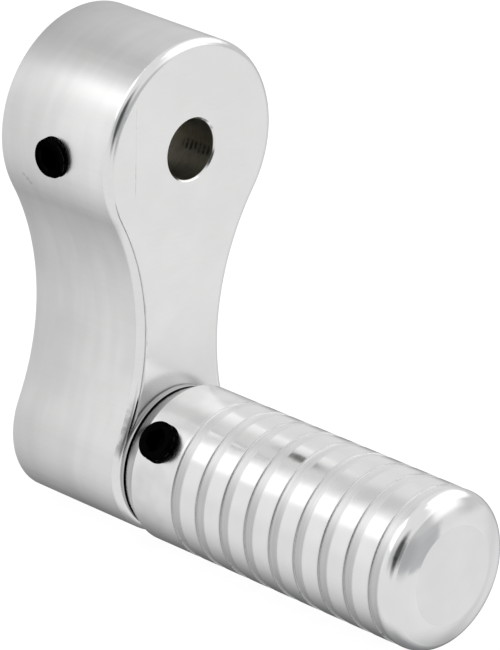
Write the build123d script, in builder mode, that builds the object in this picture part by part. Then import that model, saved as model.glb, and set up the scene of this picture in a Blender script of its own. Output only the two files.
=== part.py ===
from build123d import *
import os
from math import cos, radians, sin, sqrt

# Motorcycle foot peg on an offset arm. Millimetres, +Z up.
# Origin: the centre of the shaft bore in the arm's upper boss, at the middle of the arm's thickness.
# +X runs along the bore towards the peg's free end. The peg's axis is parallel to X, below the bore.

os.makedirs("parts", exist_ok=True)

# Driving dimensions
arm_thickness = 24.2
boss_spacing = 50.4         # shaft bore to peg axis
upper_boss_radius = 17.4
lower_boss_radius = 12.4
waist_arc_radius = 40.0     # concave arcs that join the two bosses
arm_front_edge = 1.3        # rounded edge on the peg side
arm_back_edge = 0.5
shaft_bore_radius = 4.85    # clearance on a 3/8 in shaft
shaft_bore_chamfer = 0.3

peg_radius = 12.7
peg_length = 58.2
peg_base_chamfer_length = 2.5
peg_base_chamfer_depth = 1.18
tip_face_radius = 7.92      # flat disc at the free end
tip_dome_inner_slope = 10.0  # degrees off square, at the disc's edge
tip_dome_outer_slope = 25.0
tip_corner_radius = 2.2     # from the dome to the peg's side

groove_count = 9
groove_pitch = 5.21
groove_width = 1.8
groove_depth = 0.22
first_groove = 12.15        # arm face to the first groove's near edge
groove_corner = 0.08

stud_radius = 4.7625        # 3/8 in
stud_in_arm = 12.0
stud_end = 33.0             # arm face to the stud's free end
stud_fit = 0.03             # radial clearance in the arm and in the peg
stud_chamfer = 0.6
peg_bore_end = 35.0

thread_radius = 3.175       # 1/4 in threads
thread_fit = 0.03           # radial clearance of each threaded pair, as modelled
hex_key_size = 3.175        # 1/8 in across flats
hex_key_depth = 3.2
screw_end_chamfer = 0.5

arm_screw_length = 12.7     # 1/2 in
arm_screw_proud = 1.3
arm_screw_tilt = 3.4        # degrees below horizontal, on the -Y side
cup_radius = 1.6
cup_depth = 0.8

peg_screw_length = 11.11    # 7/16 in
peg_screw_proud = 1.83
peg_screw_angle = 146.0     # degrees round X from +Y
peg_screw_from_arm = 7.22
dog_radius = 1.98
dog_length = 2.6
retaining_clearance = 0.45  # dog point to the sides and floor of the stud's groove

cap_head_radius = 4.75
cap_head_height = 6.35
cap_head_hex = 4.76
cap_head_hex_depth = 3.2
cap_head_edge = 0.5
cap_screw_length = 15.875
knurl_count = 36
knurl_depth = 0.18
lock_washer_thickness = 1.6
lock_washer_inner = 3.4
lock_washer_outer = 4.9
lock_washer_slit = 0.9
counterbore_radius = 5.6
counterbore_depth = 8.6
stud_tap_depth = 13.0
screw_clearance_radius = 3.5

thrust_washer_inner = 4.95
thrust_washer_outer = 11.6
thrust_washer_thickness = 0.5
end_play = 0.41             # the peg's axial play on its washer

# Planes and levels worked out from the dimensions above
arm_front = arm_thickness / 2
arm_back = -arm_thickness / 2
peg_axis_z = -boss_spacing
peg_base = arm_front + thrust_washer_thickness + end_play
peg_tip = peg_base + peg_length
peg_origin = (0, 0, peg_axis_z)

# Free end of the peg: the dome starts at the disc's edge and ends on the rounded corner
dome_inner = radians(tip_dome_inner_slope)
dome_outer = radians(tip_dome_outer_slope)
dome_edge_radius = peg_radius - tip_corner_radius * (1 - sin(dome_outer))
dome_radius = (dome_edge_radius - tip_face_radius) / (sin(dome_outer) - sin(dome_inner))
dome_edge_x = peg_tip - dome_radius * (cos(dome_inner) - cos(dome_outer))
corner_start_x = dome_edge_x - tip_corner_radius * cos(dome_outer)


def across_x(x, z=0.0):
    """A sketch plane square to X, with its own x along +Y and its y along +Z."""
    return Plane(origin=(x, 0, z), x_dir=(0, 1, 0), z_dir=(1, 0, 0))


def profile_about_x(z):
    """A sketch plane that holds the X axis of a turned piece: x along +X and y along +Z."""
    return Plane(origin=(0, 0, z), x_dir=(1, 0, 0), z_dir=(0, -1, 0))


def radial_plane(x, z, angle, height):
    """A sketch plane square to a radius of an X axis, at a height along it, facing outwards."""
    outward = (0, cos(radians(angle)), sin(radians(angle)))
    start = (x, height * outward[1], z + height * outward[2])
    return Plane(origin=start, x_dir=(1, 0, 0), z_dir=outward)


# Waist: the centre of each concave arc, which is tangent to both bosses
upper_reach = upper_boss_radius + waist_arc_radius
lower_reach = lower_boss_radius + waist_arc_radius
waist_drop = (upper_reach**2 - lower_reach**2 + boss_spacing**2) / (2 * boss_spacing)
waist_y = sqrt(upper_reach**2 - waist_drop**2)
upper_tangent_y = waist_y * upper_boss_radius / upper_reach
upper_tangent_z = -waist_drop * upper_boss_radius / upper_reach
lower_tangent_y = waist_y * lower_boss_radius / lower_reach
lower_tangent_z = -boss_spacing + (boss_spacing - waist_drop) * lower_boss_radius / lower_reach
waist_inner_y = waist_y - waist_arc_radius

arm_screw_angle = 180 + arm_screw_tilt
arm_screw_top = upper_boss_radius + arm_screw_proud
peg_screw_x = arm_front + peg_screw_from_arm
peg_screw_top = peg_radius + peg_screw_proud
counterbore_floor = arm_back + counterbore_depth
socket_floor = arm_front - stud_in_arm

# Arm: one block with two bosses, the shaft bore, a socket for the stud and a screw seat behind it
with BuildPart() as arm:
    with BuildSketch(across_x(arm_back)):
        with BuildLine():
            ThreePointArc(
                (upper_tangent_y, upper_tangent_z),
                (0, upper_boss_radius),
                (-upper_tangent_y, upper_tangent_z),
            )
            ThreePointArc(
                (-upper_tangent_y, upper_tangent_z),
                (-waist_inner_y, -waist_drop),
                (-lower_tangent_y, lower_tangent_z),
            )
            ThreePointArc(
                (-lower_tangent_y, lower_tangent_z),
                (0, -boss_spacing - lower_boss_radius),
                (lower_tangent_y, lower_tangent_z),
            )
            ThreePointArc(
                (lower_tangent_y, lower_tangent_z),
                (waist_inner_y, -waist_drop),
                (upper_tangent_y, upper_tangent_z),
            )
        make_face()
    extrude(amount=arm_thickness)
    fillet(arm.faces().sort_by(Axis.X)[-1].edges(), arm_front_edge)
    chamfer(arm.faces().sort_by(Axis.X)[0].edges(), arm_back_edge)
    with BuildSketch(across_x(arm_back)):
        Circle(shaft_bore_radius)
    extrude(amount=arm_thickness, mode=Mode.SUBTRACT)
    bore_rims = arm.edges().filter_by(GeomType.CIRCLE).filter_by(
        lambda edge: abs(edge.radius - shaft_bore_radius) < 0.01
    )
    chamfer(bore_rims, shaft_bore_chamfer)
    with BuildSketch(across_x(arm_front, peg_axis_z)):
        Circle(stud_radius + stud_fit)
    extrude(amount=-stud_in_arm, mode=Mode.SUBTRACT)
    with BuildSketch(across_x(arm_back, peg_axis_z)):
        Circle(counterbore_radius)
    extrude(amount=counterbore_depth, mode=Mode.SUBTRACT)
    with BuildSketch(across_x(arm_back, peg_axis_z)):
        Circle(screw_clearance_radius)
    extrude(amount=arm_thickness, mode=Mode.SUBTRACT)
    with BuildSketch(radial_plane(0, 0, arm_screw_angle, 0)):
        Circle(thread_radius + thread_fit)
    extrude(amount=upper_boss_radius + 1, mode=Mode.SUBTRACT)
arm.part.label = "arm"
export_step(arm.part, "parts/arm.step")


# Peg: a turned bar with a blind bore, shallow grooves and a tapped cross hole near its base
with BuildPart() as peg:
    with BuildSketch(profile_about_x(peg_axis_z)):
        with BuildLine():
            Polyline(
                (peg_base, 0),
                (peg_base, peg_radius - peg_base_chamfer_depth),
                (peg_base + peg_base_chamfer_length, peg_radius),
                (corner_start_x, peg_radius),
            )
            RadiusArc(
                (corner_start_x, peg_radius),
                (dome_edge_x, dome_edge_radius),
                tip_corner_radius,
            )
            RadiusArc((dome_edge_x, dome_edge_radius), (peg_tip, tip_face_radius), dome_radius)
            Polyline((peg_tip, tip_face_radius), (peg_tip, 0), (peg_base, 0))
        make_face()
    revolve(axis=Axis(peg_origin, (1, 0, 0)))
    for index in range(groove_count):
        groove_start = arm_front + first_groove + index * groove_pitch
        with BuildSketch(profile_about_x(peg_axis_z)) as groove_profile:
            with BuildLine():
                Polyline(
                    (groove_start, peg_radius + 1),
                    (groove_start, peg_radius - groove_depth),
                    (groove_start + groove_width, peg_radius - groove_depth),
                    (groove_start + groove_width, peg_radius + 1),
                    close=True,
                )
            make_face()
            floor_corners = groove_profile.vertices().group_by(Axis.Y)[0]
            fillet(floor_corners, groove_corner)
        revolve(axis=Axis(peg_origin, (1, 0, 0)), mode=Mode.SUBTRACT)
    with BuildSketch(across_x(peg_base, peg_axis_z)):
        Circle(stud_radius + stud_fit)
    extrude(amount=arm_front + peg_bore_end - peg_base, mode=Mode.SUBTRACT)
    with BuildSketch(radial_plane(peg_screw_x, peg_axis_z, peg_screw_angle, 0)):
        Circle(thread_radius + thread_fit)
    extrude(amount=peg_radius + 1, mode=Mode.SUBTRACT)
peg.part.label = "peg"
export_step(peg.part, "parts/peg.step")


# Stud: a plain steel pin with a retaining groove for the peg and a tapped hole in its arm end
retaining_width = 2 * (dog_radius + retaining_clearance)
retaining_floor = peg_screw_top - peg_screw_length - retaining_clearance
with BuildPart() as peg_stud:
    with BuildSketch(across_x(socket_floor, peg_axis_z)):
        Circle(stud_radius)
    extrude(amount=arm_front + stud_end - socket_floor)
    chamfer(peg_stud.edges().filter_by(GeomType.CIRCLE), stud_chamfer)
    with BuildSketch(profile_about_x(peg_axis_z)):
        with Locations((peg_screw_x, (stud_radius + 1 + retaining_floor) / 2)):
            Rectangle(retaining_width, stud_radius + 1 - retaining_floor)
    revolve(axis=Axis(peg_origin, (1, 0, 0)), mode=Mode.SUBTRACT)
    with BuildSketch(across_x(socket_floor, peg_axis_z)):
        Circle(thread_radius + thread_fit)
    extrude(amount=stud_tap_depth, mode=Mode.SUBTRACT)
peg_stud.part.label = "peg_stud"
export_step(peg_stud.part, "parts/peg_stud.step")


# Thrust washer: a thin ring round the stud between the arm and the peg
with BuildPart() as thrust_washer:
    with BuildSketch(across_x(arm_front, peg_axis_z)):
        Circle(thrust_washer_outer)
        Circle(thrust_washer_inner, mode=Mode.SUBTRACT)
    extrude(amount=thrust_washer_thickness)
thrust_washer.part.label = "thrust_washer"
export_step(thrust_washer.part, "parts/thrust_washer.step")


# Lock washer: a split ring under the cap screw's head
with BuildPart() as lock_washer:
    with BuildSketch(across_x(counterbore_floor, peg_axis_z)):
        Circle(lock_washer_outer)
        Circle(lock_washer_inner, mode=Mode.SUBTRACT)
        with Locations((lock_washer_outer, 0)):
            Rectangle(2 * lock_washer_outer - lock_washer_inner, lock_washer_slit, mode=Mode.SUBTRACT)
    extrude(amount=-lock_washer_thickness)
lock_washer.part.label = "lock_washer"
export_step(lock_washer.part, "parts/lock_washer.step")


# Stud screw: a socket-head cap screw with a knurled head, driven from the arm's back
head_underside = counterbore_floor - lock_washer_thickness
head_top = head_underside - cap_head_height
with BuildPart() as stud_screw:
    with BuildSketch(across_x(head_top, peg_axis_z)):
        Circle(cap_head_radius)
    extrude(amount=cap_head_height)
    chamfer(stud_screw.edges().filter_by(GeomType.CIRCLE).sort_by(Axis.X)[0], cap_head_edge)
    with BuildSketch(across_x(head_top, peg_axis_z)):
        with PolarLocations(cap_head_radius + knurl_depth, knurl_count):
            Circle(2 * knurl_depth)
    extrude(amount=cap_head_height, mode=Mode.SUBTRACT)
    with BuildSketch(across_x(head_underside, peg_axis_z)):
        Circle(thread_radius)
    extrude(amount=cap_screw_length)
    chamfer(stud_screw.edges().filter_by(GeomType.CIRCLE).sort_by(Axis.X)[-1], screw_end_chamfer)
    with BuildSketch(across_x(head_top, peg_axis_z)):
        RegularPolygon(cap_head_hex / 2, 6, major_radius=False)
    extrude(amount=cap_head_hex_depth, mode=Mode.SUBTRACT)
stud_screw.part.label = "stud_screw"
export_step(stud_screw.part, "parts/stud_screw.step")


# Set screws: their inner ends differ, a cup for the shaft and a dog point for the stud's groove
arm_screw_plane = radial_plane(0, 0, arm_screw_angle, arm_screw_top)
with BuildPart() as arm_set_screw:
    with BuildSketch(arm_screw_plane):
        Circle(thread_radius)
    extrude(amount=-arm_screw_length)
    chamfer(arm_set_screw.edges().filter_by(GeomType.CIRCLE), screw_end_chamfer)
    with BuildSketch(arm_screw_plane):
        RegularPolygon(hex_key_size / 2, 6, major_radius=False)
    extrude(amount=-hex_key_depth, mode=Mode.SUBTRACT)
    with BuildSketch(arm_screw_plane.offset(-arm_screw_length)):
        Circle(cup_radius)
    extrude(amount=cup_depth, taper=45, mode=Mode.SUBTRACT)
arm_set_screw.part.label = "arm_set_screw"
export_step(arm_set_screw.part, "parts/arm_set_screw.step")

peg_screw_plane = radial_plane(peg_screw_x, peg_axis_z, peg_screw_angle, peg_screw_top)
with BuildPart() as peg_set_screw:
    with BuildSketch(peg_screw_plane):
        Circle(thread_radius)
    extrude(amount=dog_length - peg_screw_length)
    chamfer(peg_set_screw.edges().filter_by(GeomType.CIRCLE), screw_end_chamfer)
    with BuildSketch(peg_screw_plane.offset(dog_length - peg_screw_length)):
        Circle(dog_radius)
    extrude(amount=-dog_length)
    with BuildSketch(peg_screw_plane):
        RegularPolygon(hex_key_size / 2, 6, major_radius=False)
    extrude(amount=-hex_key_depth, mode=Mode.SUBTRACT)
peg_set_screw.part.label = "peg_set_screw"
export_step(peg_set_screw.part, "parts/peg_set_screw.step")
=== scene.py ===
"""Looks for a motorcycle foot peg on an offset arm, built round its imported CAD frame. Metres, +Z up."""
import math

import bmesh
import bpy
from mathutils import Matrix, Vector


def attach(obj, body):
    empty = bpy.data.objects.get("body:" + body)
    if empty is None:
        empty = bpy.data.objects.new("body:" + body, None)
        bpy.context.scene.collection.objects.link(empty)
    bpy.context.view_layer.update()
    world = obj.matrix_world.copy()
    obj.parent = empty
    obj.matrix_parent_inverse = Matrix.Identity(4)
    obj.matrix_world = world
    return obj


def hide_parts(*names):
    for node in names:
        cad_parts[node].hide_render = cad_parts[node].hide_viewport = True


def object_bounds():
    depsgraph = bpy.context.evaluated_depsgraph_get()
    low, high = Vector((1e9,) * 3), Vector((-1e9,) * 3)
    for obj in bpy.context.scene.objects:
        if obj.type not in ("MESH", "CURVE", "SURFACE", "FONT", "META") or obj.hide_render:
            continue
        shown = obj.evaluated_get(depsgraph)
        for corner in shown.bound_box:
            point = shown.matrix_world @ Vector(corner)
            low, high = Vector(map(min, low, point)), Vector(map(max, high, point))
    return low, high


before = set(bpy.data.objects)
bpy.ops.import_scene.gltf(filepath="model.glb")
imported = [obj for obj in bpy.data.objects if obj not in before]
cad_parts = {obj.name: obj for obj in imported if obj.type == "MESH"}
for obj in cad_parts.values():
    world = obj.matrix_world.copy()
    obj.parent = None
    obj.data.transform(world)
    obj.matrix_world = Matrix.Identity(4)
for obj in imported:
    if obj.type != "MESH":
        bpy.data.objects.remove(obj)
cad_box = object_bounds()
MM = 0.001
DEGREES = 180 / math.pi

# Sizes shared with the CAD part, in millimetres
ARM_HALF = 12.1
ARM_FRONT_EDGE = 1.3
BORE_RADIUS = 4.85
BOSS_RADIUS = 17.4
COUNTERBORE_RADIUS = 5.6
COUNTERBORE_DEPTH = 8.6
PEG_AXIS_Z = -50.4
PEG_RADIUS = 12.7
PEG_BASE = 13.01
PEG_CHAMFER_END = 15.51
PEG_TIP = 71.21
FIRST_GROOVE = 24.25
LAST_GROOVE_END = 67.73
GROOVE_PITCH = 5.21
GROOVE_WIDTH = 1.8
ARM_SCREW_ANGLE = 183.4
ARM_SCREW_PROUD = 1.3
ARM_SCREW_LENGTH = 12.7
PEG_SCREW_ANGLE = 146.0
PEG_SCREW_FROM_ARM = 7.22
PEG_SCREW_PROUD = 1.83
PEG_SCREW_LENGTH = 11.11
DOG_RADIUS = 1.98
DOG_LENGTH = 2.6
THREAD_RADIUS = 3.175
CAP_HEAD_HEIGHT = 6.35
CAP_SCREW_LENGTH = 15.875
KNURL_COUNT = 36
LOCK_WASHER_THICKNESS = 1.6
THRUST_WASHER_OUTER = 11.6
THRUST_WASHER_THICKNESS = 0.5

# Thread form of the 1/4 in screws; crest and root are shares of the pitch
THREAD_PITCH = 0.907
THREAD_DEPTH = 0.46
CREST = 0.10
ROOT = 0.16


# ---------------------------------------------------------------- node helpers
class Shader:
    """A material or world node tree with short calls for the nodes it needs."""

    def __init__(self, tree):
        self.tree = tree
        self.tree.nodes.clear()

    def node(self, kind, **settings):
        made = self.tree.nodes.new(kind)
        for key, value in settings.items():
            setattr(made, key, value)
        return made

    def link(self, source, target):
        self.tree.links.new(source, target)

    def put(self, target, value):
        """Sets a socket to a number or colour, or links another node's output to it."""
        if isinstance(value, bpy.types.NodeSocket):
            self.link(value, target)
        else:
            target.default_value = value

    def math(self, operation, a, b=0.0, c=0.0):
        made = self.node("ShaderNodeMath", operation=operation)
        for socket, value in zip(made.inputs, (a, b, c)):
            self.put(socket, value)
        return made.outputs[0]

    def vector(self, operation, a, b=(0.0, 0.0, 0.0)):
        made = self.node("ShaderNodeVectorMath", operation=operation)
        self.put(made.inputs[0], a)
        self.put(made.inputs[1], b)
        return made.outputs[1] if operation in ("DOT_PRODUCT", "LENGTH") else made.outputs[0]

    def scale(self, vector, factor):
        made = self.node("ShaderNodeVectorMath", operation="SCALE")
        self.put(made.inputs[0], vector)
        self.put(made.inputs["Scale"], factor)
        return made.outputs[0]

    def split(self, vector):
        made = self.node("ShaderNodeSeparateXYZ")
        self.link(vector, made.inputs[0])
        return made.outputs[0], made.outputs[1], made.outputs[2]

    def join(self, x, y, z):
        made = self.node("ShaderNodeCombineXYZ")
        for socket, value in zip(made.inputs, (x, y, z)):
            self.put(socket, value)
        return made.outputs[0]

    def ramp(self, value, low, high, out_low=0.0, out_high=1.0):
        """Smooth step from low to high."""
        made = self.node("ShaderNodeMapRange", interpolation_type="SMOOTHSTEP")
        for socket, item in zip(made.inputs, (value, low, high, out_low, out_high)):
            self.put(socket, item)
        return made.outputs[0]

    def both(self, a, b):
        """Product of two numbers or masks."""
        return self.math("MULTIPLY", a, b)

    def mix(self, factor, a, b):
        made = self.node("ShaderNodeMix", data_type="RGBA")
        self.put(made.inputs[0], factor)
        self.put(made.inputs[6], a)
        self.put(made.inputs[7], b)
        return made.outputs[2]

    def blend(self, factor, a, b):
        """Number a where the factor is 0 and b where it is 1."""
        made = self.node("ShaderNodeMix", data_type="FLOAT")
        for socket, value in zip(made.inputs, (factor, None, a, b)):
            if value is not None:
                self.put(socket, value)
        return made.outputs[0]

    def noise(self, vector, scale, detail=2.0):
        made = self.node("ShaderNodeTexNoise")
        self.link(vector, made.inputs["Vector"])
        made.inputs["Scale"].default_value = scale
        made.inputs["Detail"].default_value = detail
        return made.outputs["Fac"]

    def bump(self, height, depth, over=None, strength=None):
        """Height in 0..1 raised by depth metres, over another bump if one is given."""
        made = self.node("ShaderNodeBump")
        made.inputs["Distance"].default_value = depth
        self.link(height, made.inputs["Height"])
        if over is not None:
            self.link(over, made.inputs["Normal"])
        if strength is not None:
            self.link(strength, made.inputs["Strength"])
        return made.outputs[0]


def grey(level):
    return (level, level, level, 1.0)


# ---------------------------------------------------------------- studio
def direction(azimuth, elevation):
    """Unit vector at an azimuth from +X towards +Y and an elevation, in degrees."""
    a = math.radians(azimuth)
    e = math.radians(elevation)
    return Vector((math.cos(a) * math.cos(e), math.sin(a) * math.cos(e), math.sin(e)))


TENT_LEVEL = 0.80
# Round patches of the light tent, in degrees: azimuth, elevation, full inside, none outside, and level
ROUND_PATCHES = [
    (46, -24, 8, 26, 0.84),
    (100, -76, 8, 44, 0.34),
    (136, -35, 0, 76, 0.13),
    (88, -26, 5, 20, 0.76),
    (-131, 10, 6, 22, 0.87),
    (-179, 50, 4, 18, 0.62),
    (-80, 22, 4, 26, 0.52),
    (-14, 8, 4, 17, 0.28),
]
# Panels with straight edges: azimuth, elevation, half width, half height, soft edges of each, and level
PANELS = [
    (150, 14, 24, 8, 12, 14, 0.77),
    (84, 8, 28, 6, 14, 6, 0.62),
    (72, 49, 40, 23, 20, 11, 1.22),
    (12, 5, 13, 8, 9, 7, 0.60),
    (14, -4, 17, 7.5, 5, 2.5, 0.54),
    (23, -8.5, 8, 6, 4, 2, 0.5),
    (42, 23, 4, 12, 17, 7, 1.22),
    (-128, 44, 20, 15, 7, 6, 1.3),
]
# Flags laid over all the rest, in the same form as the round patches
FLAGS = [
    (5, -3, 3, 17, 0.42),
    (-42, 20, 12, 33, 0.08),
]


def tent_grey(level):
    """The tent's darker parts are faintly cool."""
    cool = 0.02 if level < 0.6 else 0.0
    return (level * (1.0 - cool), level, level * (1.0 + cool), 1.0)


def add_round(s, towards, colour, patch):
    azimuth, elevation, inner, outer, strength = patch
    dot = s.vector("DOT_PRODUCT", towards, direction(azimuth, elevation))
    angle = s.both(s.math("ARCCOSINE", dot), DEGREES)
    inside = s.ramp(angle, inner, outer, 1.0, 0.0)
    return s.mix(inside, colour, tent_grey(strength))


def add_panel(s, towards, climb, colour, panel):
    azimuth, elevation, half_width, half_height, soft_width, soft_height, strength = panel
    ahead = s.vector("DOT_PRODUCT", towards, direction(azimuth, 0))
    aside = s.vector("DOT_PRODUCT", towards, direction(azimuth + 90, 0))
    swing = s.both(s.math("ABSOLUTE", s.math("ARCTAN2", aside, ahead)), DEGREES)
    rise = s.math("ABSOLUTE", s.math("SUBTRACT", climb, elevation))
    wide = s.ramp(swing, half_width, half_width + soft_width, 1.0, 0.0)
    tall = s.ramp(rise, half_height, half_height + soft_height, 1.0, 0.0)
    return s.mix(s.both(wide, tall), colour, tent_grey(strength))


def build_world():
    world = bpy.data.worlds.new("light_tent")
    world.use_nodes = True
    bpy.context.scene.world = world
    s = Shader(world.node_tree)
    towards = s.node("ShaderNodeTexCoord").outputs["Generated"]
    climb = s.both(s.math("ARCSINE", s.split(towards)[2]), DEGREES)
    colour = grey(TENT_LEVEL)
    for patch in ROUND_PATCHES:
        colour = add_round(s, towards, colour, patch)
    for panel in PANELS:
        colour = add_panel(s, towards, climb, colour, panel)
    for patch in FLAGS:
        colour = add_round(s, towards, colour, patch)
    tent = s.node("ShaderNodeBackground")
    s.put(tent.inputs["Color"], colour)
    plain = s.node("ShaderNodeBackground")
    plain.inputs["Color"].default_value = grey(1.0)
    rays = s.node("ShaderNodeLightPath")
    seen = s.node("ShaderNodeMixShader")
    s.link(rays.outputs["Is Camera Ray"], seen.inputs[0])
    s.link(tent.outputs[0], seen.inputs[1])
    s.link(plain.outputs[0], seen.inputs[2])
    out = s.node("ShaderNodeOutputWorld")
    s.link(seen.outputs[0], out.inputs["Surface"])


def build_floor():
    """A plain white sweep under the part. Polished metal mirrors the tent in its place."""
    mesh = bpy.data.meshes.new("floor")
    half = 3.0
    low = cad_box[0][2]
    corners = [(-half, -half, low), (half, -half, low), (half, half, low), (-half, half, low)]
    mesh.from_pydata(corners, [], [(0, 1, 2, 3)])
    floor = bpy.data.objects.new("floor", mesh)
    bpy.context.scene.collection.objects.link(floor)
    floor.visible_glossy = False
    material = bpy.data.materials.new("white_sweep")
    material.use_nodes = True
    s = Shader(material.node_tree)
    shader = s.node("ShaderNodeBsdfPrincipled")
    shader.inputs["Base Color"].default_value = grey(0.14)
    shader.inputs["Roughness"].default_value = 0.9
    shader.inputs["Emission Color"].default_value = grey(1.0)
    shader.inputs["Emission Strength"].default_value = 0.92
    out = s.node("ShaderNodeOutputMaterial")
    s.link(shader.outputs[0], out.inputs["Surface"])
    mesh.materials.append(material)


# Camera: azimuth from -Y towards +X, as for a viewer who walks round the part
VIEW_AZIMUTH = 43.815
VIEW_ELEVATION = 20.548
VIEW_ROLL = 3.326
VIEW_DISTANCE = 0.84442
VIEW_AIM = Vector((0.02656, 0.0, -0.02414))
VIEW_LENS = 307.53


def build_camera():
    azimuth = math.radians(VIEW_AZIMUTH)
    elevation = math.radians(VIEW_ELEVATION)
    roll = math.radians(VIEW_ROLL)
    back = Vector(
        (
            math.sin(azimuth) * math.cos(elevation),
            -math.cos(azimuth) * math.cos(elevation),
            math.sin(elevation),
        )
    )
    level_right = Vector((math.cos(azimuth), math.sin(azimuth), 0.0))
    level_up = back.cross(level_right)
    right = math.cos(roll) * level_right + math.sin(roll) * level_up
    up = back.cross(right)
    place = Matrix((right, up, back)).transposed().to_4x4()
    place.translation = VIEW_AIM + back * VIEW_DISTANCE
    data = bpy.data.cameras.new("camera")
    data.lens = VIEW_LENS
    data.clip_end = 20.0
    camera = bpy.data.objects.new("camera", data)
    camera.matrix_world = place
    bpy.context.scene.collection.objects.link(camera)
    bpy.context.scene.camera = camera


build_world()
build_floor()
build_camera()
bpy.context.scene.view_settings.view_transform = "Standard"


# ---------------------------------------------------------------- places of the hardware
def radial_place(x, axis_z, angle):
    """Frame with +Z along a radius of an X axis, origin on the axis."""
    turn = math.radians(angle)
    outward = Vector((0.0, math.cos(turn), math.sin(turn)))
    along = Vector((1.0, 0.0, 0.0))
    across = outward.cross(along)
    place = Matrix((along, across, outward)).transposed().to_4x4()
    place.translation = Vector((x, 0.0, axis_z))
    return place


def axial_place(x, axis_z):
    """Frame with +Z along -X, origin on an X axis."""
    outward = Vector((-1.0, 0.0, 0.0))
    along = Vector((0.0, 1.0, 0.0))
    across = outward.cross(along)
    place = Matrix((along, across, outward)).transposed().to_4x4()
    place.translation = Vector((x, 0.0, axis_z))
    return place


COUNTERBORE_FLOOR = -ARM_HALF + COUNTERBORE_DEPTH
ARM_SCREW_PLACE = radial_place(0.0, 0.0, ARM_SCREW_ANGLE)
PEG_SCREW_PLACE = radial_place(ARM_HALF + PEG_SCREW_FROM_ARM, PEG_AXIS_Z, PEG_SCREW_ANGLE)
THRUST_WASHER_PLACE = axial_place(ARM_HALF, PEG_AXIS_Z)
LOCK_WASHER_PLACE = axial_place(COUNTERBORE_FLOOR, PEG_AXIS_Z)
CAP_SCREW_PLACE = axial_place(COUNTERBORE_FLOOR - LOCK_WASHER_THICKNESS, PEG_AXIS_Z)


# ---------------------------------------------------------------- materials
def start_metal(name):
    """A new metal material. Returns it with its node tree, shader and texture coordinates."""
    material = bpy.data.materials.new(name)
    material.use_nodes = True
    s = Shader(material.node_tree)
    shader = s.node("ShaderNodeBsdfPrincipled")
    shader.inputs["Metallic"].default_value = 1.0
    out = s.node("ShaderNodeOutputMaterial")
    s.link(shader.outputs[0], out.inputs["Surface"])
    return material, s, shader, s.node("ShaderNodeTexCoord")


def point_in_mm(s, coords):
    return s.vector("MULTIPLY", coords.outputs["Object"], (1 / MM, 1 / MM, 1 / MM))


def facing_x(s, coords):
    """How far the surface faces +X, from -1 to 1."""
    return s.split(coords.outputs["Normal"])[0]


def radius_about_x(s, point, axis_z):
    """Distance in mm from an axis along X at height axis_z."""
    flat = s.vector("MULTIPLY", s.vector("SUBTRACT", point, (0.0, 0.0, axis_z)), (0.0, 1.0, 1.0))
    return s.vector("LENGTH", flat)


def spots(s, point, places):
    """1 near any of the places in the part, falling to 0 at its reach in mm."""
    marked = 0.0
    for place, reach in places:
        away = s.vector("LENGTH", s.vector("SUBTRACT", point, place))
        marked = s.math("MAXIMUM", marked, s.ramp(away, 0.4 * reach, reach, 1.0, 0.0))
    return marked


def specks(s, point, spacing, size, share):
    """Small dents, one in some of the cells of a random lattice with this spacing in mm."""
    cells = s.node("ShaderNodeTexVoronoi")
    s.link(point, cells.inputs["Vector"])
    cells.inputs["Scale"].default_value = 1.0 / spacing
    dent = s.ramp(cells.outputs["Distance"], 0.4 * size / spacing, size / spacing, 1.0, 0.0)
    chosen = s.ramp(s.split(cells.outputs["Color"])[0], share, 0.9 * share, 0.0, 1.0)
    return s.both(dent, chosen)


# Spots that make up the scratch under the arm's screw, and two on the peg's rounded tip: place and reach
ARM_SCRATCH = [((-7.5, -16.3, -6.1), 0.5), ((-6.9, -16.0, -6.7), 0.6), ((-6.4, -15.8, -7.3), 0.5)]
TIP_NICKS = [((70.4, -5.6, -43.3), 0.5), ((69.6, -11.3, -45.2), 0.6)]


def arm_marks(s, point, y, z, face):
    """A hairline down the face, a scratch on the side and a few dents: 1 where the metal is marked."""
    line = s.math("ADD", y, s.math("MULTIPLY_ADD", z, 0.05, 11.75))
    hair = s.ramp(s.math("ABSOLUTE", line), 0.05, 0.11, 1.0, 0.0)
    hair = s.both(hair, s.both(s.ramp(z, -5.5, -4.5), s.ramp(z, 9.5, 8.5)))
    broken = s.ramp(s.noise(s.vector("MULTIPLY", point, (0.0, 0.5, 1.6)), 1.0, 1.0), 0.42, 0.6)
    hair = s.both(s.both(hair, face), s.math("MULTIPLY_ADD", broken, 0.3, 0.06))
    hair = s.both(hair, s.ramp(z, -1.0, 1.0, 1.0, 0.4))
    scratch = s.both(spots(s, point, ARM_SCRATCH), 0.3)
    dents = s.both(specks(s, point, spacing=4.2, size=0.13, share=0.16), 0.6)
    return s.math("MAXIMUM", s.math("MAXIMUM", hair, scratch), dents)


def peg_marks(s, point):
    """Small dents on the lands and two nicks on the rounded tip."""
    dents = specks(s, point, spacing=3.4, size=0.16, share=0.2)
    return s.both(s.math("MAXIMUM", spots(s, point, TIP_NICKS), dents), 0.5)


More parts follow.
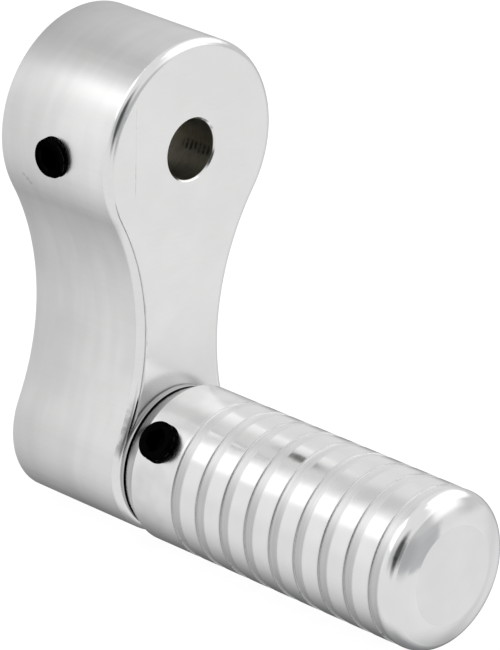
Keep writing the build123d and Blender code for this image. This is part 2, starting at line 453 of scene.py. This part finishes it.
def bore_shade_colour(s, point, x, y, z):
    """The shaft bore's wall, painted dark as shade: brownish dark in its lower part and mid grey in its
    upper part, with a broken row of short marks along it.
    """
    around = s.math("ARCTAN2", z, y)
    off_row = s.math("ABSOLUTE", s.math("ADD", around, 0.3))
    teeth = s.math("SINE", s.both(x, 2 * math.pi / THREAD_PITCH))
    row = s.both(s.ramp(off_row, 0.1, 0.22, 1.0, 0.0), s.ramp(teeth, -0.6, 0.3))
    row = s.both(row, s.ramp(x, 5.0, 6.5, 0.0, 0.95))
    row = s.both(row, s.ramp(s.noise(point, 1.2, 2.0), 0.35, 0.6, 0.2, 1.0))
    grain = s.noise(s.vector("MULTIPLY", point, (6.0, 0.6, 0.6)), 1.0, 2.0)
    # Painted shade inside the bore: brownish dark below, mid grey in the upper part
    dark = s.mix(s.ramp(grain, 0.3, 0.7), (0.30, 0.285, 0.23, 1.0), (0.42, 0.40, 0.33, 1.0))
    dark = s.mix(row, dark, (0.08, 0.08, 0.07, 1.0))
    return s.mix(s.ramp(z, 0.5, 3.0), dark, grey(0.6))


def arm_material():
    material, s, shader, coords = start_metal("machined_aluminium")
    point = point_in_mm(s, coords)
    x, y, z = s.split(point)
    bore_r = radius_about_x(s, point, 0.0)
    peg_r = radius_about_x(s, point, PEG_AXIS_Z)

    # Masks: the front face, everything from its rounded edge forward, the shaft bore, the holes on the
    # peg's axis, and how far forward along the sides
    face = s.both(s.ramp(facing_x(s, coords), 0.99, 0.999), s.ramp(x, ARM_HALF - 0.1, ARM_HALF - 0.02))
    edge_start = ARM_HALF - ARM_FRONT_EDGE
    edge = s.ramp(x, edge_start - 0.06, edge_start + 0.04)
    bore = s.ramp(bore_r, BORE_RADIUS + 0.03, BORE_RADIUS + 0.08, 1.0, 0.0)
    seat = s.ramp(peg_r, COUNTERBORE_RADIUS + 0.02, COUNTERBORE_RADIUS + 0.1, 1.0, 0.0)
    forward = s.ramp(x, -ARM_HALF - 6.0, ARM_HALF - 2.0)
    # A painted dark streak of shade on the lower boss's front edge beside the peg, also made duller
    shade_streak = s.both(s.ramp(peg_r, 11.1, 11.9), s.both(s.ramp(z, -38.0, -43.0), s.ramp(z, -48.5, -46.0)))
    shade_streak = s.both(shade_streak, s.ramp(s.noise(point, 0.9, 3.0), 0.3, 0.6, 0.3, 1.0))
    shade_streak = s.both(shade_streak, s.both(edge, s.ramp(x, ARM_HALF - 0.02, ARM_HALF - 0.5)))

    # Fine lines: along X on the sides, level across the face
    along_x = s.vector("ADD", s.vector("MULTIPLY", point, (0.03, 1.3, 1.3)), (0.5, 0.0, 0.0))
    side_lines = s.noise(along_x, 1.0, 1.0)
    face_lines = s.noise(s.vector("MULTIPLY", point, (1.0, 0.25, 3.5)), 1.0, 3.0)
    cloud = s.noise(point, 0.12, 2.0)
    lines = s.blend(face, side_lines, face_lines)
    depth = s.blend(edge, 0.6, s.blend(face, 0.12, 0.22))
    s.link(s.bump(s.both(lines, depth), 0.0000012), shader.inputs["Normal"])

    # The sides stay rougher than 0.28: a dotted line showed where their roughness crossed about 0.27
    satin = s.blend(forward, 0.46, 0.285)
    satin = s.math("ADD", satin, s.ramp(side_lines, 0.3, 0.7, 0.0, 0.03))
    face_rough = s.ramp(peg_r, 13.0, 17.0, 0.265, 0.21)
    rough = s.blend(edge, satin, s.blend(face, s.ramp(z, -14.0, -4.0, 0.06, 0.12), face_rough))
    rough = s.blend(shade_streak, rough, 0.34)
    rough = s.blend(bore, rough, 0.38)
    rough = s.blend(seat, rough, 0.3)
    s.link(rough, shader.inputs["Roughness"])

    tone = s.ramp(cloud, 0.3, 0.7, 0.965, 1.0)
    tone = s.both(tone, s.ramp(lines, 0.2, 0.8, 0.98, 1.0))
    streaks = s.noise(s.vector("MULTIPLY", point, (0.3, 0.06, 0.06)), 1.0, 2.0)
    tone = s.both(tone, s.blend(edge, s.ramp(streaks, 0.35, 0.65, 0.95, 1.0), 1.0))
    # Painted light and shade on the sides: darker towards the back edge and towards the top, brighter low
    # on the front
    back_side_shade = s.ramp(z, 7.0, 12.5, 0.86, 0.62)
    front_side_light_and_shade = s.ramp(z, 10.2, 12.8, 1.06, 0.84)
    tone = s.both(tone, s.blend(edge, s.blend(forward, back_side_shade, front_side_light_and_shade), 1.0))
    # Painted shade: the sides grow darker below 2 mm under the bore's axis
    tone = s.both(tone, s.blend(edge, s.ramp(z, -14.0, -2.0, 0.92, 1.0), 1.0))
    # Painted shade on the front face around the peg
    tone = s.both(tone, s.blend(face, 1.0, s.ramp(peg_r, 14.0, 25.0, 0.93, 1.0)))
    # Painted shade: the streak beside the peg on the lower boss's front edge is darkened
    tone = s.both(tone, s.blend(shade_streak, 1.0, 0.6))

    bright = s.scale((0.905, 0.905, 0.9), tone)
    colour = s.mix(arm_marks(s, point, y, z, face), bright, grey(0.3))
    colour = s.mix(bore, colour, bore_shade_colour(s, point, x, y, z))
    # Painted shade in the holes on the peg's axis, mid grey
    colour = s.mix(seat, colour, grey(0.5))
    s.link(colour, shader.inputs["Base Color"])
    return material


def peg_material():
    material, s, shader, coords = start_metal("turned_aluminium")
    point = point_in_mm(s, coords)
    split = s.split(point)
    x, z = split[0], split[2]
    r = radius_about_x(s, point, PEG_AXIS_Z)

    # Masks: the grooved stretch, the groove floors, the base chamfer, the first land, the flat disc at
    # the tip, and the base face with the stud's bore
    grooves_begin = s.ramp(x, FIRST_GROOVE - 0.55, FIRST_GROOVE - 0.45)
    grooves = s.both(grooves_begin, s.ramp(x, LAST_GROOVE_END + 0.37, LAST_GROOVE_END + 0.47, 1.0, 0.0))
    # Distance from the middle of the nearest groove
    from_groove = s.math("SUBTRACT", x, FIRST_GROOVE + GROOVE_WIDTH / 2 - GROOVE_PITCH / 2)
    from_groove = s.math("SUBTRACT", s.math("MODULO", from_groove, GROOVE_PITCH), GROOVE_PITCH / 2)
    from_groove = s.math("ABSOLUTE", from_groove)
    half = GROOVE_WIDTH / 2
    floor = s.both(grooves, s.ramp(from_groove, half - 0.1, half + 0.35, 1.0, 0.0))
    chamfer = s.ramp(x, PEG_CHAMFER_END - 0.06, PEG_CHAMFER_END + 0.04, 1.0, 0.0)
    base_land = s.ramp(x, FIRST_GROOVE - 0.75, FIRST_GROOVE - 0.05, 1.0, 0.0)
    disc = s.both(s.ramp(facing_x(s, coords), 0.992, 0.999), s.ramp(x, PEG_TIP - 0.11, PEG_TIP - 0.06))
    inside = s.ramp(x, PEG_BASE + 0.04, PEG_BASE + 0.09, 1.0, 0.0)
    bore = s.ramp(r, 4.9, 5.0, 1.0, 0.0)
    hidden_in_shade = s.math("MAXIMUM", inside, s.both(bore, s.ramp(x, 50.0, 51.0, 1.0, 0.0)))

    # Turned lines, deepest in the grooves, under a faint waviness that leaves the disc flat
    turned = s.noise(s.join(s.both(x, 5.0), s.both(r, 5.0), 0.0), 1.0, 3.0)
    cloud = s.noise(point, 0.16, 2.0)
    fine = s.bump(s.both(turned, s.blend(floor, 0.1, 1.0)), 0.0000022)
    wavy = s.bump(s.noise(point, 0.4, 1.0), 0.00002, over=fine, strength=s.blend(disc, 1.0, 0.0))
    s.link(wavy, shader.inputs["Normal"])

    rough = s.math("ADD", 0.15, s.ramp(cloud, 0.3, 0.7, 0.0, 0.06))
    rough = s.blend(base_land, rough, 0.26)
    rough = s.blend(s.ramp(x, LAST_GROOVE_END - 0.13, LAST_GROOVE_END + 0.87), rough, 0.1)
    rough = s.blend(chamfer, rough, 0.2)
    rough = s.blend(floor, rough, 0.38)
    rough = s.blend(disc, rough, 0.15)
    rough = s.blend(hidden_in_shade, rough, 0.5)
    s.link(rough, shader.inputs["Roughness"])

    tone = s.ramp(cloud, 0.3, 0.7, 0.96, 1.0)
    # Groove floors darker than the lands, varying with the turned lines, with painted shade on the lower
    # grooves and painted light on the upper ones
    groove_tone_and_shade = s.both(s.ramp(turned, 0.25, 0.75, 0.78, 0.88), s.ramp(z, -48.0, -40.0, 0.86, 1.13))
    tone = s.both(tone, s.blend(floor, 1.0, groove_tone_and_shade))
    # Painted shade on the base chamfer, between the peg and the arm
    tone = s.both(tone, s.blend(chamfer, 1.0, 0.68))
    # The first land beside the arm is painted darker as shade near the arm, mottled at random
    tone = s.both(tone, s.blend(base_land, 1.0, s.ramp(cloud, 0.35, 0.65, 0.9, 0.98)))
    tone = s.both(tone, s.blend(disc, 1.0, 0.94))

    # Patchy darker lines along the grooves' edges, strongest under the peg
    from_edge = s.math("ABSOLUTE", s.math("SUBTRACT", from_groove, half))
    edge_line = s.ramp(from_edge, 0.1, 0.3, 1.0, 0.0)
    patchy = s.ramp(s.noise(s.vector("MULTIPLY", point, (0.6, 1.1, 1.1)), 1.0, 3.0), 0.58, 0.7)
    groove_edge_darkening = s.both(s.both(edge_line, patchy), s.both(grooves, s.ramp(z, -55.0, -59.5, 0.05, 0.75)))
    bright = s.scale((0.905, 0.905, 0.905), tone)
    colour = s.mix(s.math("MAXIMUM", peg_marks(s, point), groove_edge_darkening), bright, grey(0.3))
    # Painted shade: the base face against the arm and the stud's bore are nearly black
    colour = s.mix(hidden_in_shade, colour, grey(0.05))
    s.link(colour, shader.inputs["Base Color"])
    return material


def dark_steel(name, level, roughness, place=None, worn_radius=0.0):
    """Black oxide, nearly black with a dull sheen. Threads along place are worn from worn_radius out."""
    material, s, shader, coords = start_metal(name)
    point = point_in_mm(s, coords)
    cloud = s.noise(point, 1.6, 3.0)
    s.link(s.ramp(cloud, 0.3, 0.7, roughness, roughness + 0.1), shader.inputs["Roughness"])
    colour = s.mix(s.ramp(cloud, 0.3, 0.7), grey(level), grey(level * 1.6))
    if place:
        from_origin = s.vector("SUBTRACT", point, place.translation)
        outward = place.col[2].to_3d()
        radius = s.vector("LENGTH", s.vector("CROSS_PRODUCT", from_origin, outward))
        worn = s.both(s.ramp(radius, worn_radius - 0.1, worn_radius), s.ramp(cloud, 0.42, 0.6))
        colour = s.mix(worn, colour, grey(0.03))
    s.link(colour, shader.inputs["Base Color"])
    shader.inputs["Specular Tint"].default_value = grey(0.25)
    s.link(s.bump(s.noise(point, 6.0, 2.0), 0.0000012), shader.inputs["Normal"])
    return material


def bright_steel(name, level):
    """Ground steel with turned lines round the peg's axis."""
    material, s, shader, coords = start_metal(name)
    point = point_in_mm(s, coords)
    r = radius_about_x(s, point, PEG_AXIS_Z)
    x = s.split(point)[0]
    turned = s.noise(s.join(s.both(x, 6.0), s.both(r, 6.0), 0.0), 1.0, 3.0)
    s.link(s.bump(turned, 0.000003), shader.inputs["Normal"])
    s.link(s.ramp(turned, 0.3, 0.7, 0.29, 0.36), shader.inputs["Roughness"])
    tone = s.mix(s.ramp(turned, 0.3, 0.7), grey(level), grey(level * 1.15))
    # The thrust washer's rim is painted mid grey and its outer face nearly black, as shade in the gap
    # between the arm and the peg
    washer_front = ARM_HALF + THRUST_WASHER_THICKNESS
    from_arm = s.ramp(x, ARM_HALF - 0.2, ARM_HALF - 0.1)
    shaded_rim = s.both(from_arm, s.ramp(x, washer_front + 0.4, washer_front + 0.5, 1.0, 0.0))
    shaded_rim = s.both(shaded_rim, s.ramp(r, THRUST_WASHER_OUTER - 0.6, THRUST_WASHER_OUTER - 0.4))
    shaded_face = s.both(from_arm, s.ramp(x, washer_front + 0.3, washer_front + 0.4, 1.0, 0.0))
    shaded_face = s.both(s.ramp(facing_x(s, coords), 0.8, 0.95), shaded_face)
    tone = s.mix(shaded_rim, tone, grey(0.55))
    s.link(s.mix(shaded_face, tone, grey(0.05)), shader.inputs["Base Color"])
    return material


arm_metal = arm_material()
peg_metal = peg_material()
arm_screw_steel = dark_steel("arm_screw_steel", 0.0016, 0.29, ARM_SCREW_PLACE, THREAD_RADIUS)
peg_screw_steel = dark_steel("peg_screw_steel", 0.0016, 0.29, PEG_SCREW_PLACE, THREAD_RADIUS)
cap_steel = dark_steel("cap_screw_steel", 0.02, 0.3)
ground = bright_steel("bright_steel", 0.72)
FINISHES = {
    "arm": arm_metal,
    "peg": peg_metal,
    "arm_set_screw": arm_screw_steel,
    "peg_set_screw": peg_screw_steel,
    "stud_screw": cap_steel,
    "lock_washer": ground,
    "thrust_washer": ground,
    "peg_stud": ground,
}
for name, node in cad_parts.items():
    node.data.materials.clear()
    node.data.materials.append(FINISHES[name])


# ---------------------------------------------------------------- hardware meshes
CREASE = math.radians(32)


def piece(name, node, body, rings, place, material, closed=True):
    """A skin through rings of equal point count, in mm, with closed ends or without.

    place takes the rings' frame to the part's.
    """
    count = len(rings[0])
    points = [place @ Vector(p) for ring in rings for p in ring]
    faces = []
    for row in range(len(rings) - 1):
        for column in range(count):
            a = row * count + column
            b = row * count + (column + 1) % count
            faces.append((a, b, b + count, a + count))
    for row in (0, len(rings) - 1) if closed else ():
        centre = sum((Vector(p) for p in rings[row]), Vector()) / count
        points.append(place @ centre)
        hub = len(points) - 1
        for column in range(count):
            a = row * count + column
            b = row * count + (column + 1) % count
            faces.append((b, a, hub) if row == 0 else (a, b, hub))
    mesh = bpy.data.meshes.new(name)
    mesh.from_pydata([p * MM for p in points], [], faces)
    work = bmesh.new()
    work.from_mesh(mesh)
    bmesh.ops.recalc_face_normals(work, faces=work.faces)
    for edge in work.edges:
        if len(edge.link_faces) == 2 and edge.calc_face_angle(0.0) > CREASE:
            edge.smooth = False
    for face in work.faces:
        face.smooth = True
    work.to_mesh(mesh)
    work.free()
    mesh.materials.append(material)
    made = bpy.data.objects.new(name, mesh)
    bpy.context.scene.collection.objects.link(made)
    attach(made, body)
    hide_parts(node)
    return made


def hexagon(angle, half_flats):
    """Radius of a hexagon at an angle, from half its size across flats."""
    sixth = math.pi / 3
    return half_flats / math.cos((angle + sixth / 2) % sixth - sixth / 2)


def circle(radius, height, count):
    """A ring of count points. radius is a number or a function of the angle."""
    ring = []
    for index in range(count):
        angle = 2 * math.pi * index / count
        r = radius(angle) if callable(radius) else radius
        ring.append((r * math.cos(angle), r * math.sin(angle), height))
    return ring


def thread_radius(angle, height):
    """Radius of a right-hand 60 degree thread that climbs along +Z."""
    phase = (height / THREAD_PITCH - angle / (2 * math.pi)) % 1.0
    flank = (1.0 - CREST - ROOT) / 2
    if phase < CREST:
        down = 0.0
    elif phase < CREST + flank:
        down = (phase - CREST) / flank
    elif phase < CREST + flank + ROOT:
        down = 1.0
    else:
        down = 1.0 - (phase - CREST - flank - ROOT) / flank
    return THREAD_RADIUS - THREAD_DEPTH * down


def threaded_rings(top, bottom, lead_top, lead_bottom, count):
    """Rings of a thread from height top down to bottom, with lead-in chamfers at both ends."""
    step = THREAD_PITCH / 14
    rings = []
    total = int(math.ceil((top - bottom) / step))
    for index in range(total + 1):
        height = top + (bottom - top) * index / total
        limit = min(lead_top + (top - height), lead_bottom + (height - bottom))
        rings.append(circle(lambda angle: min(limit, thread_radius(angle, height)), height, count))
    return rings


def socket_rings(flats, depth, top, mouth, count):
    """Rings from the socket's drilled floor up its hexagon and out of its chamfered mouth."""
    half = flats / 2
    return [
        circle(0.25 * flats, top - depth - 0.45, count),
        circle(lambda angle: hexagon(angle, half), top - depth, count),
        circle(lambda angle: hexagon(angle, half), top - 0.22, count),
        circle(lambda angle: max(hexagon(angle, half), mouth - 0.04), top - 0.04, count),
        circle(mouth, top, count),
    ]


def set_screw(name, node, body, material, top, length, place, point):
    """A set screw along +Z with its socket at height top; point lists the rings of its inner end."""
    count = 96
    rings = socket_rings(flats=3.175, depth=3.2, top=top, mouth=1.98, count=count)
    rings += threaded_rings(top, top - length, lead_top=2.8, lead_bottom=2.55, count=count)
    rings += [circle(radius, top - length - drop, count) for radius, drop in point]
    piece(name, node, body, rings, place, material)


# Inner ends as (radius, distance past the thread): a cup goes back in, a dog point stands out
CUP_POINT = [(1.6, 0.0), (0.9, -0.6), (0.3, -0.8)]
DOG_POINT = [(DOG_RADIUS, 0.0), (DOG_RADIUS, DOG_LENGTH - 0.25), (DOG_RADIUS - 0.25, DOG_LENGTH)]

set_screw(
    "arm_set_screw_detail",
    "arm_set_screw",
    "arm_assembly",
    arm_screw_steel,
    top=BOSS_RADIUS + ARM_SCREW_PROUD,
    length=ARM_SCREW_LENGTH,
    place=ARM_SCREW_PLACE,
    point=CUP_POINT,
)
set_screw(
    "peg_set_screw_detail",
    "peg_set_screw",
    "peg_assembly",
    peg_screw_steel,
    top=PEG_RADIUS + PEG_SCREW_PROUD,
    length=PEG_SCREW_LENGTH - DOG_LENGTH,
    place=PEG_SCREW_PLACE,
    point=DOG_POINT,
)


def cap_screw():
    """Socket-head cap screw with a straight-knurled head, driven from the arm's back."""
    count = 216
    head_radius = 4.72
    head_top = CAP_HEAD_HEIGHT
    knurl_depth = 0.17

    def knurl(angle):
        wave = abs(math.sin(KNURL_COUNT / 2 * angle))
        return head_radius - knurl_depth * (1.0 - wave)

    rings = socket_rings(flats=4.76, depth=3.2, top=head_top, mouth=2.95, count=count)
    rings += [
        circle(4.1, head_top, count),
        circle(4.4, head_top - 0.12, count),
        circle(lambda angle: min(knurl(angle), 4.55), head_top - 0.3, count),
        circle(knurl, head_top - 0.6, count),
        circle(knurl, 0.45, count),
        circle(4.45, 0.25, count),
        circle(4.3, 0.0, count),
        circle(3.4, 0.0, count),
        circle(3.16, -0.25, count),
    ]
    rings += threaded_rings(-0.3, -CAP_SCREW_LENGTH, lead_top=THREAD_RADIUS, lead_bottom=2.55, count=count)
    place = CAP_SCREW_PLACE
    piece("stud_screw_detail", "stud_screw", "arm_assembly", rings, place, cap_steel)


def ring_section(inner, outer, low, high, round_off):
    """Closed outline of a washer's section as (radius, height), with its corners eased."""
    return [
        (inner + round_off, low),
        (outer - round_off, low),
        (outer - 0.3 * round_off, low + 0.3 * round_off),
        (outer, low + round_off),
        (outer, high - round_off),
        (outer - 0.3 * round_off, high - 0.3 * round_off),
        (outer - round_off, high),
        (inner + round_off, high),
        (inner + 0.3 * round_off, high - 0.3 * round_off),
        (inner, high - round_off),
        (inner, low + round_off),
        (inner + 0.3 * round_off, low + 0.3 * round_off),
    ]


def washer(name, node, section, start, stop, slant, place, segments):
    """A washer swept from angle start to stop, its ends slanted by slant radians per mm of height.

    A full turn has no ends and takes no slant.
    """
    full = abs(stop - start) > 2 * math.pi - 1e-6
    rings = []
    middle = (section[0][1] + section[6][1]) / 2
    for index in range(segments + 1):
        turn = start + (stop - start) * index / segments
        ring = []
        for radius, height in section:
            angle = turn + slant * (height - middle)
            ring.append((radius * math.cos(angle), radius * math.sin(angle), height))
        rings.append(ring)
    return piece(name, node, "arm_assembly", rings, place, ground, closed=not full)


def weld(obj):
    """Joins the coincident points where a full turn meets itself."""
    mesh = obj.data
    work = bmesh.new()
    work.from_mesh(mesh)
    bmesh.ops.remove_doubles(work, verts=work.verts, dist=1e-7)
    work.to_mesh(mesh)
    work.free()


cap_screw()
thrust_washer = washer(
    "thrust_washer_detail",
    "thrust_washer",
    ring_section(4.95, THRUST_WASHER_OUTER, -THRUST_WASHER_THICKNESS, 0.0, round_off=0.06),
    start=0.0,
    stop=2 * math.pi,
    slant=0.0,
    place=THRUST_WASHER_PLACE,
    segments=256,
)
weld(thrust_washer)
washer(
    "lock_washer_detail",
    "lock_washer",
    ring_section(3.4, 4.9, 0.0, LOCK_WASHER_THICKNESS, round_off=0.15),
    start=math.radians(8.0),
    stop=math.radians(352.0),
    slant=0.08,
    place=LOCK_WASHER_PLACE,
    segments=120,
)
